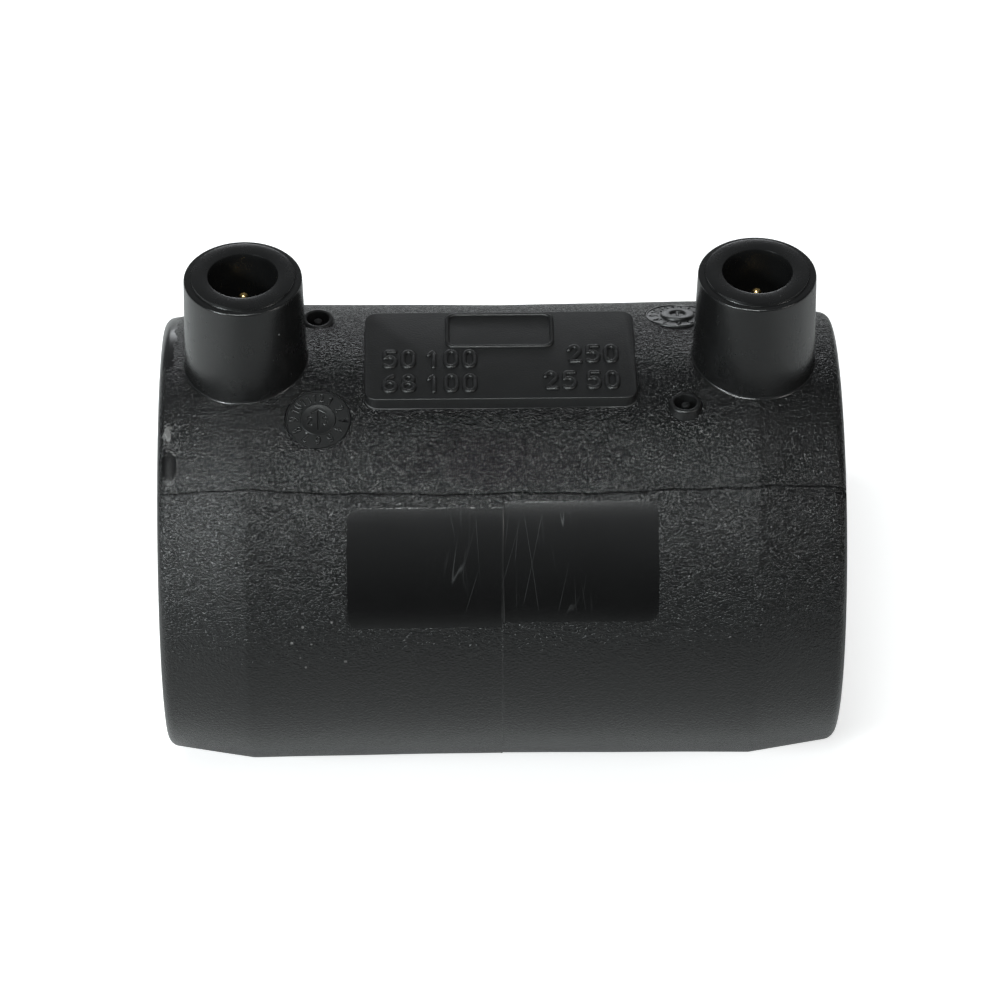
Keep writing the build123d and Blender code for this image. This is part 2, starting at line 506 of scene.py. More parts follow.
def arc(cx: float, cy: float, rx: float, ry: float, start: float, stop: float) -> Stroke:
    """Points along part of an ellipse, from one angle to another in degrees."""
    steps = max(4, round(abs(stop - start) / 15))
    angles = [start + (stop - start) * i / steps for i in range(steps + 1)]
    return [(cx + rx * c, cy + ry * s) for c, s in rounding(angles)]


@dataclass
class Numerals:
    """Plain single-stroke numbers, as a round-nosed cutter leaves them, drawn 1 high and 0.6 wide."""

    narrow: float = 0.8  # how much of the drawn width is used
    advance: float = 0.77
    gap: float = 0.25  # what a space adds
    soften: float = 0.12  # how much of each side a softened corner takes

    def strokes(self, digit: str) -> list[Stroke]:
        """The strokes of one digit, or none for a space."""
        bowl = arc(0.3, 0.3, 0.3, 0.3, 0, 360)
        shapes: dict[str, list[Stroke]] = {
            "0": [arc(0.3, 0.68, 0.28, 0.32, 0, 180) + arc(0.3, 0.32, 0.28, 0.32, 180, 360) + [(0.58, 0.68)]],
            "1": [[(0.1, 0.78), (0.36, 1.0), (0.36, 0.0)]],
            "2": [arc(0.3, 0.7, 0.28, 0.3, 165, -30) + [(0.02, 0.0), (0.6, 0.0)]],
            "3": [arc(0.28, 0.75, 0.27, 0.25, 150, -90) + arc(0.28, 0.26, 0.31, 0.26, 90, -150)],
            "4": [[(0.44, 0.0), (0.44, 1.0), (0.0, 0.3), (0.62, 0.3)]],
            "5": [[(0.56, 1.0), (0.08, 1.0), (0.05, 0.56)] + arc(0.28, 0.32, 0.31, 0.32, 125, -140)],
            "6": [bowl, arc(0.62, 0.36, 0.62, 0.64, 180, 105)],
            "7": [[(0.0, 1.0), (0.6, 1.0), (0.2, 0.0)]],
            "8": [arc(0.3, 0.76, 0.25, 0.24, -90, 270), arc(0.3, 0.27, 0.3, 0.26, 90, 450)],
        }
        shapes["9"] = [[(0.6 - x, 1.0 - y) for x, y in stroke] for stroke in shapes["6"]]
        return shapes.get(digit, [])

    def step(self, letter: str) -> float:
        """How far a letter moves the next one on."""
        return self.advance if letter != " " else self.gap

    def path(self, stroke: Stroke, height: float, origin: Point2) -> np.ndarray:
        """A stroke's flat centre line at its real size, its corners softened."""
        points = np.array(stroke) * (height * self.narrow, height) + np.array(origin)
        fine: list[np.ndarray] = [points[0]]
        for a, b, c in zip(points[:-2], points[1:-1], points[2:]):
            fine += [b + (a - b) * self.soften, b + (c - b) * self.soften]
        return np.array(fine + [points[-1]])

    def row(self, shape: Shape, text: str, height: float, origin: Point2, radius: float, lift: float) -> None:
        """Add a row of digits in the XY plane.

        Args:
            shape: what they are added to.
            text: digits and spaces.
            height: of the digits.
            origin: the lower left corner.
            radius: of the strokes.
            lift: of their centre line over the plane.
        """
        x = origin[0]
        for letter in text:
            for stroke in self.strokes(letter):
                shape.tube(lifted(self.path(stroke, height, (x, origin[1])), lift), radius)
            x += height * self.step(letter)

    def length(self, text: str, height: float) -> float:
        """How long a row of digits is."""
        return height * (sum(self.step(letter) for letter in text[:-1]) + 0.6 * self.narrow)


# ---------------------------------------------------------------- finishes


@dataclass(frozen=True)
class LabelField:
    """The smooth sunk field on the front; its right half sits a little higher than its left."""

    length: float = 45.3
    low: float = 17.1  # round the pipe from the horizontal
    high: float = 47.7
    corner: float = 1.8
    sink: float = 0.06
    mismatch: float = 0.65  # degrees that each half is off the middle

    def middle(self) -> float:
        """Its middle, round the pipe from the crown."""
        return (self.low + self.high) / 2 - 90

    def half_arc(self, radius: float) -> float:
        """Half its height along the arc."""
        return math.radians((self.high - self.low) / 2) * radius


@dataclass(frozen=True)
class GrainedPlastic:
    """Black polyethylene from a spark-eroded mould, smooth where it is polished or the skin is scraped, with
    painted shade in the grain's hollows.
    """

    label: LabelField
    name: str = "grained_polyethylene"
    colour: float = 0.003
    bright: float = 0.0065
    roughness: float = 0.2
    grain: float = 0.37  # size of the grain's cells
    grain_height: float = 0.2
    # how strongly painted shade darkens the grain's hollows
    pit_share: float = 0.58
    radius: float = 33.9  # arcs round the pipe are measured on it
    scar: Point2 = (-48.1, -31.5)  # the gate's scar: along the pipe, and degrees from the crown
    burr: Point2 = (-48.5, -22.5)
    scratch_layers: tuple[Point3, ...] = (  # slant, where the noise is read, width
        (0.16, 3.0, 0.010),
        (-0.24, 41.0, 0.009),
        (0.05, 120.0, 0.007),
        (-0.08, 203.0, 0.006),
    )

    def material(self) -> Material:
        """The material."""
        shader = Shader(self.name)
        x, y, z, place = shader.place()
        angle = y.angle_from(z)
        around = angle * self.radius
        outside = (y * y + z * z).root().ramp(31.5, 32.0)
        smooth = self.smooth_areas(shader, x, around, place)
        scratches = self.scratches(shader, x, around)
        coarse = shader.noise(place, self.grain, 1.0, 0.5, 0.7)
        fleck = shader.noise(shader.vector(x + 40.0, y, z), self.grain * 0.62, 0.0, 0.5, 1.2)
        grain = coarse + fleck * 0.35 - 0.67  # about 0, so that a mask's edge shows no step
        rough_share = outside * (1 - smooth) * z.ramp(-6.0, 15.0, 0.5, 1.0)
        wave = shader.noise(place, 6.0, 2.0)
        bore = self.bore_relief(x, angle) * (1 - outside)
        height = grain * rough_share + wave * 0.05 + bore * 0.6 + scratches * 0.02
        cloud = shader.noise(place, 9.0, 3.0, 0.6)
        peaks = coarse.ramp(0.5, 0.75) * rough_share
        # painted shade: the grain's low spots are blended towards near-black, most high on the body and least
        # at the left end
        pit_shade_zone = rough_share * z.ramp(4.0, 20.0, 0.2, 1.0) * x.ramp(-41.0, -36.0, 0.3, 1.0)
        pit_shade = grain.ramp(0.14, -0.09) * pit_shade_zone * self.pit_share
        seam = abs(x).ramp(0.17, 0.05) * (angle + math.radians(42.5)).ramp(0.02, -0.02)
        torn = self.torn(shader, x, around, place).at_least(self.specks(shader, x, y, z, place))
        base = shader.mix(cloud * 0.5 + peaks * 0.5, grey(self.colour), grey(self.bright, -0.02))
        base = shader.mix(seam * (1 - cloud) * outside * 0.3, base, grey(0.045))
        base = shader.mix(scratches * 0.4, base, grey(0.06, -0.02))
        base = shader.mix(torn, base, grey(0.42, 0.02))
        rough = self.roughness - smooth * 0.03 + scratches * 0.12 + cloud * 0.04
        normal = shader.bump(height, self.grain_height)
        return shader.finish(pit_shade, Base_Color=base, Roughness=rough, Normal=normal)

    def arc_at(self, angle: float) -> float:
        """How far round the pipe an angle in degrees is, in millimetres of arc."""
        return math.radians(angle) * self.radius

    def rounded_box(self, across: Value, along: Value, half: Point2, corner: float) -> Value:
        """Distance outside a rounded rectangle about the origin, in millimetres, negative inside."""
        dx = abs(across) - (half[0] - corner)
        dy = abs(along) - (half[1] - corner)
        outer_x, outer_y = dx.at_least(0.0), dy.at_least(0.0)
        return (outer_x * outer_x + outer_y * outer_y).root() + dx.at_least(dy).at_most(0.0) - corner

    def ellipse(self, across: Value, along: Value, a: float, b: float) -> Value:
        """1 on an ellipse's edge, under 1 inside."""
        return (across * across / (a * a) + along * along / (b * b)).root()

    def smooth_areas(self, shader: Shader, x: Value, around: Value, place: Any) -> Value:
        """1 where the surface carries no grain: the label field, the gate's scar and the scraped end."""
        label, inset = self.label, 0.1
        lift = (x.over(0.0) * 2.0 - 1.0) * self.arc_at(label.mismatch)
        along = around - lift - self.arc_at(label.middle())
        half = (label.length / 2 - inset, label.half_arc(self.radius) - inset)
        field_mask = self.rounded_box(x, along, half, label.corner).ramp(0.15, -0.1)
        jag = shader.noise(place, 1.6, 3.0, 0.6)
        scar = self.ellipse(x - self.scar[0], around - self.arc_at(self.scar[1]), 1.2, 3.2) + jag * 0.7
        strip = (x + 47.9 - (jag - 0.5) * 2.2).ramp(0.15, -0.15) * abs(around - 11.0).ramp(12.5, 9.5)
        return field_mask.at_least(scar.ramp(1.5, 1.0)).at_least(strip)

    def torn(self, shader: Shader, x: Value, around: Value, place: Any) -> Value:
        """How pale the torn burr above the gate's scar is."""
        jag = shader.noise(place, 0.8, 3.0, 0.7)
        core = self.ellipse(x - self.burr[0], around - self.arc_at(self.burr[1]), 0.6, 1.7)
        return (core + (jag - 0.5) * 2.6).ramp(1.15, 0.7) * 0.28

    def scratches(self, shader: Shader, x: Value, around: Value) -> Value:
        """Thin pale scratches that run up and down the label field."""
        zone = abs(around - self.arc_at(-57.0)).ramp(8.8, 5.4) * abs(x - 3.5).ramp(16.0, 9.0)
        parts = []
        for slant, offset, width in self.scratch_layers:
            line = shader.vector(x + around * slant, around * 0.05 + offset, offset)
            streak = abs(shader.noise(line, 3.4, 1.0, 0.35) - 0.5).ramp(width, 0.0)
            patch = shader.vector(x * 0.7, around * 0.25, offset)
            parts.append(streak * shader.noise(patch, 3.6, 1.0).ramp(0.48, 0.66))
        total = parts[0]
        for part in parts[1:]:
            total = total.at_least(part)
        return total * zone

    def specks(self, shader: Shader, x: Value, y: Value, z: Value, place: Any) -> Value:
        """How pale the small dust specks are; they lie thickest low on the front left."""
        spot = shader.cells(place, 2.3).ramp(0.12, 0.07)
        zone = self.ellipse(x + 27.0, z - 8.0, 7.0, 7.5).ramp(1.1, 0.5) * y.ramp(-20.0, -25.0)
        rare = shader.noise(place, 7.0, 1.0).ramp(0.68, 0.72)
        return spot * (zone * 0.8).at_least(rare * 0.35) * 0.35

    def bore_relief(self, x: Value, angle: Value) -> Value:
        """Faint ridges over the heating wire, where it winds under the socket's wall."""
        pitch, station = 5.8, 37.2
        turn = angle / (2 * math.pi)
        phase = ((x - station) / pitch - turn + 40.0).fraction()
        zone = abs(x).ramp(13.0, 14.5) * abs(x).ramp(38.5, 37.5)
        return abs(phase - 0.5).ramp(0.38, 0.5) * zone * 0.5


@dataclass(frozen=True)
class SmoothPlastic:
    """Black polyethylene from a polished part of the mould."""

    name: str
    colour: float = 0.0045
    roughness: float = 0.34
    grain: float = 0.25
    grain_height: float = 0.012
    streaks: float = 0.0  # how strong the marks along Z are

    def material(self) -> Material:
        """The material."""
        shader = Shader(self.name)
        x, y, z, place = shader.place()
        fine = shader.noise(place, self.grain, 2.0, 0.6)
        wave = shader.noise(place, 5.0, 2.0)
        cloud = shader.noise(place, 4.0, 4.0, 0.65)
        draw = shader.noise(shader.vector(x, y, z * 0.06), 0.5, 2.0, 0.6)
        height = fine + wave * 2.0 + draw * self.streaks
        spot = shader.cells(place, 3.1).ramp(0.055, 0.03) * shader.noise(place, 6.0, 1.0).ramp(0.58, 0.62)
        base = shader.mix(cloud, grey(self.colour * 0.8), grey(self.colour * 1.5, -0.02))
        base = shader.mix(spot * 0.4, base, grey(0.35))
        rough = self.roughness + (cloud - 0.5) * 0.12 + draw * 0.04
        normal = shader.bump(height, self.grain_height)
        return shader.finish(Base_Color=base, Roughness=rough, Normal=normal)


@dataclass(frozen=True)
class Metal:
    """Turned or drawn metal with faint marks round it."""

    name: str
    colour: Colour
    tarnish: Colour
    roughness: float = 0.25

    def material(self) -> Material:
        """The material."""
        shader = Shader(self.name)
        x, y, z, place = shader.place()
        turned = shader.noise(shader.vector(x * 0.2, y * 0.2, z), 0.12, 2.0, 0.6)
        cloud = shader.noise(place, 1.4, 3.0, 0.6)
        base = shader.mix(cloud.ramp(0.35, 0.75), (*self.colour, 1.0), (*self.tarnish, 1.0))
        rough = self.roughness + (cloud - 0.5) * 0.2
        normal = shader.bump(turned, 0.01)
        return shader.finish(Base_Color=base, Roughness=rough, Metallic=1.0, Normal=normal)


# ---------------------------------------------------------------- the moulded body


@dataclass
class Sleeve:
    """The tube that the pipes push into, with everything that is moulded flat into its skin."""

    half_length: float = 50.0
    shoulder_station: float = 37.2
    shoulder_radius: float = 34.15
    waist_radius: float = 33.83
    mouth_radius: float = 32.1
    mouth_rounding: float = 1.6
    socket_radius: float = 25.4
    lead_in: float = 1.6
    stop_radius: float = 23.0
    stop_half: float = 1.5
    stop_bevel: float = 0.8
    parting_middle: float = -40.0
    parting_end: float = -38.7
    ridge: float = 0.04
    seam_width: float = 0.11
    sharp: float = 30.0
    label: LabelField = LabelField()

    def taper(self) -> float:
        """How fast the ends narrow."""
        return (self.shoulder_radius - self.mouth_radius) / (self.half_length - self.shoulder_station)

    def radius(self, x: Any) -> Any:
        """The outer radius along the pipe, before the mouths are rounded."""
        x = np.abs(x)
        waist = self.waist_radius + (self.shoulder_radius - self.waist_radius) * x / self.shoulder_station
        end = self.shoulder_radius - self.taper() * (x - self.shoulder_station)
        return np.where(x < self.shoulder_station, waist, end)

    def height(self, x: Any, y: Any) -> Any:
        """How high the crown's surface is over the pipe axis."""
        return np.sqrt(np.maximum(self.radius(x) ** 2 - np.square(y), 0.0))

    def stations(self) -> np.ndarray:
        """Where the outer surface has its rings, from left to right, close at the seam, bends and scar."""
        inner = self.half_length - self.mouth_rounding
        even = np.arange(-inner + 0.5, inner - 0.2, 0.9)
        seam = [s * v for v in (0.07, 0.14, 0.24, 0.4) for s in (-1, 1)] + [0.0]
        bends = [s * (self.shoulder_station + v) for v in (-0.25, 0.0, 0.25) for s in (-1, 1)]
        scar = np.arange(-inner + 0.3, -44.0, 0.3)
        even = even[(np.abs(even) > 0.6) & (even > -43.9)]
        every = sorted(set(np.round(np.concatenate([even, seam, bends, scar]), 3)))
        kept = [every[0]]
        for x in every[1:]:
            if x - kept[-1] > 0.055:
                kept.append(x)
        return np.array(kept)

    def mouth(self) -> list[Point2]:
        """The right mouth's rounding and face, from the taper inward, as (x, radius)."""
        lean = math.atan(self.taper())
        cx = self.half_length - self.mouth_rounding
        cr = float(self.radius(cx)) - self.mouth_rounding / math.cos(lean)
        turns = [(math.cos(a), math.sin(a)) for a in np.linspace(math.pi / 2 - lean, 0.0, 9)]
        points = [(cx + self.mouth_rounding * c, cr + self.mouth_rounding * s) for c, s in turns]
        face, inward = self.socket_radius + self.lead_in, self.half_length - self.lead_in
        points += [(self.half_length, face + 0.15), (self.half_length - 0.05, face)]
        return points + [(inward, self.socket_radius + 0.05), (inward - 0.1, self.socket_radius)]

    def profile(self) -> tuple[np.ndarray, np.ndarray]:
        """The closed section as (x, radius), and 1 for each point that is outer skin."""
        rounded = 6  # how many of a mouth's points carry the skin's relief
        outer = [(x, float(self.radius(x))) for x in self.stations()]
        bore = [(x, self.socket_radius) for x in (40.0, 28.0, 16.0, 6.0)]
        stop = [(self.stop_half + self.stop_bevel, self.socket_radius), (self.stop_half, self.stop_radius)]
        half_in = self.mouth() + bore + stop
        points = np.array(outer + half_in + [(-x, r) for x, r in reversed(half_in)])
        skin = np.zeros(len(points))
        skin[: len(outer) + rounded] = 1
        skin[-rounded:] = 1
        return points, skin

    def parting(self, x: Any) -> Any:
        """The front parting line's angle along the pipe."""
        share = np.clip((np.abs(x) - 15.0) / 25.0, 0, 1)
        share = share * share * (3 - 2 * share)
        wobble = 0.22 * np.sin(x * 0.31 + 0.6) + 0.12 * np.sin(x * 0.83)
        return self.parting_middle + (self.parting_end - self.parting_middle) * share + wobble

    def angles(self) -> np.ndarray:
        """Where the rings have their points round the pipe, before they follow the parting lines."""
        base = np.arange(-180.0, 180.0, 1.25)
        near = np.array([0.0, 0.08, 0.16, 0.26, 0.4, 0.7])
        middle = abs(self.parting_middle)
        lines = np.concatenate([c + s * near for c in (-middle, middle) for s in (-1, 1)])
        scar = np.arange(-36.5, -12.0, 0.45)
        base = base[(np.abs(np.abs(base) - middle) > 0.95) & ~((base > -36.8) & (base < -11.8))]
        return np.array(sorted(set(np.round(np.concatenate([base, lines, scar]), 3))))

    def relief(self, x: np.ndarray, angle: np.ndarray) -> np.ndarray:
        """How far the skin stands off the plain turned form.

        Args:
            x: along the pipe, for each point.
            angle: round the pipe, for each point.

        Returns:
            The height in millimetres, positive outward.
        """
        around = np.radians(angle) * self.shoulder_radius
        front = np.radians(angle - self.parting(x)) * self.shoulder_radius
        back = np.radians(angle + self.parting(-x)) * self.shoulder_radius
        below = (front < -0.05) | (back > 0.05)
        # the parting line: a fine ridge, a groove over it and a small step down under it
        height = self.ridge * (mound((front, self.seam_width)) + mound((back, self.seam_width)))
        height -= 0.12 * (mound((front - 0.13, 0.07)) + mound((back + 0.13, 0.07)))
        height += np.where(below, -0.05, 0.0)
        # the seam under it, and the right half a little lower than the left
        height += np.where(below, 0.1 * mound((x, self.seam_width)), 0.0)
        height += np.where(below & (x > 0.03), -0.05, 0.0)
        # sink marks
        height += 0.025 * np.sin(x / 7.3 + 0.8) * np.cos(np.radians(angle) * 3 + 0.5)
        height += 0.018 * np.sin(x / 3.1 + 2.0) * np.sin(np.radians(angle) * 7)
        # the gate's dent, the torn burr above it, the lip under it, and the chip at the right end
        dent = mound((x + 47.7, 1.2), (around + 18.6, 2.6))
        burr = mound((x + 48.5, 0.6), (around + 13.3, 1.5))
        lip = mound((x + 46.6, 2.6), (front - 0.2, 0.35))
        ragged = 0.5 + 0.5 * np.sin(around * 5.1 + x * 3.3) * np.sin(around * 2.3 - x * 4.1)
        height += -0.09 * dent + (0.07 + 0.12 * ragged) * burr + 0.10 * lip
        return height - 0.25 * mound((x - 49.2, 0.9), (front + 0.2, 0.8))

    def shape(self) -> Shape:
        """The whole turned form with its relief."""
        points, skin = self.profile()
        angles = self.angles()
        count, middle = len(angles), self.parting_middle
        # points near a parting line go along with it, and the others stay
        pull, pull_back = (np.exp(-(((angles - line) / 4.0) ** 4)) for line in (middle, -middle))
        rings = []
        for (x, r), is_skin in zip(points, skin):
            turned = angles + pull * (self.parting(x) - middle) - pull_back * (self.parting(-x) - middle)
            reach = np.full(count, r)
            if is_skin:
                reach = reach + self.relief(np.full(count, x), turned)
            rad = np.radians(turned)
            rings.append(np.column_stack([np.full(count, x), reach * np.sin(rad), reach * np.cos(rad)]))
        return Shape().loft(rings, closed=True)

    def label_tool(self) -> Object:
        """The block that sinks the label field: its sides lean and its floor is part of a cylinder."""
        label, radius = self.label, self.waist_radius
        half, lift = label.length / 2, math.radians(label.mismatch) * radius
        outline = rounded_rectangle(label.length, 2 * label.half_arc(radius), label.corner)
        left = outline[outline[:, 0] < 0] + (0, -lift)
        right = outline[outline[:, 0] > 0] + (0, lift)
        # the two halves meet in a small step on the seam
        halves = ((0.03, right), (-0.03, left))
        steps = [(x, end(part[:, 1])) for x, part in halves for end in (np.max, np.min)]
        order = np.concatenate([left, right, steps])
        order = order[np.argsort(np.arctan2(order[:, 1], order[:, 0] / half * 9.0))]
        order = subdivided(order, 0.9)
        middle = math.radians(label.middle())
        rings = []
        for out, rise in ((-0.2, -1.0), (-0.2, -0.1), (0.2, 0.3), (0.2, 3.0)):
            x, arc_along = pushed(order, out).T
            around, reach = middle + arc_along / radius, radius + rise
            rings.append(np.column_stack([x, reach * np.sin(around), reach * np.cos(around)]))
        tool = Shape().loft(rings).build("label_block")
        floor = []
        for x in (-half - 5.0, 0.0, half + 5.0):
            ring = circle(360) * (float(self.radius(x)) - label.sink)
            floor.append(np.column_stack([np.full(360, x), ring]))
        cut(tool, Shape().loft(floor).build("label_core"))
        return tool


@dataclass
class Shroud:
    """The open tower round one terminal."""

    side: Side
    sleeve: Sleeve
    station: float = 37.2
    rim: float = 49.4
    radius: float = 8.58
    draft: float = 0.45
    bore: float = 5.0
    depth: float = 13.0
    step: float = 0.45
    ledge: float = 1.0
    edge: float = 0.3  # the rounding of the outer wall's top edge
    root: float = 32.0
    fillet: float = 0.3
    segments: int = 144

    def profile(self) -> list[Point2]:
        """The turned part from the well's floor to the outer wall, as (radius, height)."""
        rim, bore, floor, shoulder = self.rim, self.bore, self.rim - self.depth, self.rim - self.step
        points = [(0.01, floor), (3.02, floor), (bore - 0.3, floor), (bore, floor + 0.3)]
        points += [(bore + 0.02, rim - 1.2), (bore + 0.05, rim - 0.22), (bore + 0.13, rim - 0.06)]
        inner = self.radius - self.ledge
        points += [(bore + 0.3, rim), (inner - 0.22, rim), (inner - 0.07, rim - 0.06), (inner, rim - 0.2)]
        points += [(inner + 0.02, shoulder + 0.06), (inner + 0.08, shoulder)]
        edge, turns = self.edge, rounding((90, 70, 50, 30, 10))
        return points + [(self.radius - edge + edge * c, shoulder - edge + edge * s) for c, s in turns]

    def wall_radius(self, z: Any) -> Any:
        """The outer wall's radius at a height."""
        top = self.rim - self.step
        return self.radius + self.draft * (top - z) / (top - self.root)

    def build(self, material: Material) -> Object:
        """Make the shroud with a fillet that follows the sleeve."""
        around, fillet = circle(self.segments), self.fillet
        centre = np.array([self.side.value * self.station, 0.0])

        def ring(radius: Any, z: Any) -> np.ndarray:
            """One ring about the terminal."""
            return lifted(around * np.reshape(radius, (-1, 1)) + centre, z)

        def ground(radius: np.ndarray) -> np.ndarray:
            """The sleeve's height all round the terminal."""
            return self.sleeve.height(*(around * radius[:, None] + centre).T)

        rings = [ring(r, z) for r, z in self.profile()]
        foot = np.full(self.segments, self.radius + self.draft)
        for _ in range(4):  # the wall's foot and the ground under it are found in turns
            surface = ground(foot)
            foot = self.wall_radius(surface + fillet)
        top = self.rim - self.step - 0.45
        for share in np.linspace(0.0, 1.0, 12):
            z = top + (surface + fillet - top) * share
            rings.append(ring(self.wall_radius(z), z))
        for a in np.linspace(15, 90, 6):
            turn = math.radians(a)
            out = foot + fillet * (1 - math.cos(turn))
            rings.append(ring(out, ground(out) + fillet * (1 - math.sin(turn)) - 0.03 * (a / 90)))
        level = ground(foot + fillet)
        rings += [ring(foot + fillet - 0.1, level - 0.6), ring(foot - 1.5, level - 1.2)]
        return Shape().loft(rings).build(f"shroud_{self.side.word}", material, BROAD_SHARP)


@dataclass
class Plate:
    """The flat plate on the crown, with plain raised numbers and a blank frame."""

    sleeve: Sleeve
    length: float = 39.6
    width: float = 20.0
    level: float = 34.15
    corner: float = 1.8
    edge: float = 0.17
    fillet: float = 0.15
    number_size: float = 3.5
    number_radius: float = 0.4
    rows: tuple[tuple[str, float, float, bool], ...] = (  # text, x, y, whether it ends at x
        ("50 100", -17.0, -2.8, False),
        ("68 100", -17.0, -8.35, False),
        ("250", 17.1, -1.9, True),
        ("25 50", 17.1, -7.9, True),
    )
    numerals: Numerals = field(default_factory=Numerals)

    def build(self, material: Material) -> Object:
        """Make the plate."""
        outline = subdivided(rounded_rectangle(self.length, self.width, self.corner, 10), 0.6)
        rings = []
        for c, s in rounding((90, 68, 45, 22, 0)):
            rings.append(lifted(pushed(outline, self.edge * (c - 1)), self.level - self.edge * (1 - s)))
        ground = self.sleeve.height(*outline.T)
        surface = np.minimum(ground + self.fillet, self.level - self.edge - 0.01)
        rings.append(lifted(outline, surface))
        for a, (c, s) in zip((30, 60, 90), rounding((30, 60, 90))):
            out = pushed(outline, self.fillet * (1 - c))
            level = self.sleeve.height(*out.T) + self.fillet * (1 - s) - 0.02 * a / 90
            rings.append(lifted(out, np.minimum(level, surface - 0.01 * a / 90)))
        low = pushed(outline, 0.2)
        rings.append(lifted(low, self.sleeve.height(*low.T) - 0.8))
        return Shape().loft(rings).build("crown_plate", material, BROAD_SHARP)

    def numbers(self, material: Material) -> Object:
        """Make the raised numbers and the blank frame between them."""
        shape, size = Shape(), self.number_size
        for text, x, y, ends_there in self.rows:
            start = x - self.numerals.length(text, size) if ends_there else x
            self.numerals.row(shape, text, size, (start, y), self.number_radius, self.level)
        blank = subdivided(rounded_rectangle(15.4, 7.4, 1.2), 0.8) + (0.0, 5.5)
        shape.tube(lifted(blank, self.level), 0.34, closed=True)
        return shape.build("plate_numbers", material, FINE_SHARP)


@dataclass
class Indicator:
    """A fusion indicator: a raised ring with a blind well and a stub standing in it."""

    side: Side
    sleeve: Sleeve
    station: float = 26.8
    offset: float = 10.0
    level: float = 33.2
    radius: float = 2.3
    well: float = 1.65
    depth: float = 2.8
    stub: float = 0.65
    stub_recess: float = 0.35
    segments: int = 64

    def place(self) -> Point2:
        """Its centre seen from above."""
        return self.side.value * self.station, -self.side.value * self.offset

    def build(self, material: Material) -> Object:
        """Make the ring, the well and the stub as one turned form."""
        radius, well, stub = self.radius, self.well, self.stub
        top, floor, stub_top = self.level, self.level - self.depth, self.level - self.stub_recess
        profile = [(0.01, stub_top), (0.35, stub_top - 0.03), (0.56, stub_top - 0.12), (stub, stub_top - 0.3)]
        profile += [(stub + 0.02, floor + 0.15), (stub + 0.15, floor), (well - 0.2, floor)]
        profile += [(well, floor + 0.2), (well, top - 0.16), (well + 0.05, top - 0.05), (well + 0.16, top)]
        profile += [(radius - 0.26, top), (radius - 0.1, top - 0.05), (radius, top - 0.18)]
        profile += [(radius + 0.05, top - 0.35)]
        centre, around = self.place(), circle(self.segments)
        rings = [lifted(around * r + centre, z) for r, z in profile]
        for out, lift in ((0.12, 0.12), (0.2, -0.02), (0.2, -0.7)):
            flat = around * (radius + out) + centre
            level = self.sleeve.height(*flat.T) + lift
            rings.append(lifted(flat, np.minimum(level, rings[-1][:, 2] - 0.01)))
        rings.append(lifted(around + centre, floor - 0.9))
        return Shape().loft(rings).build(f"indicator_{self.side.word}", material, BROAD_SHARP)

    def pocket(self) -> Object:
        """The tool that clears the sleeve where the well is."""
        shape = Shape().lathe([(2.0, self.level - self.depth - 0.5), (2.0, self.level + 1.0)], 48)
        return shape.moved(Matrix.Translation((*self.place(), 0))).build("indicator_pocket")


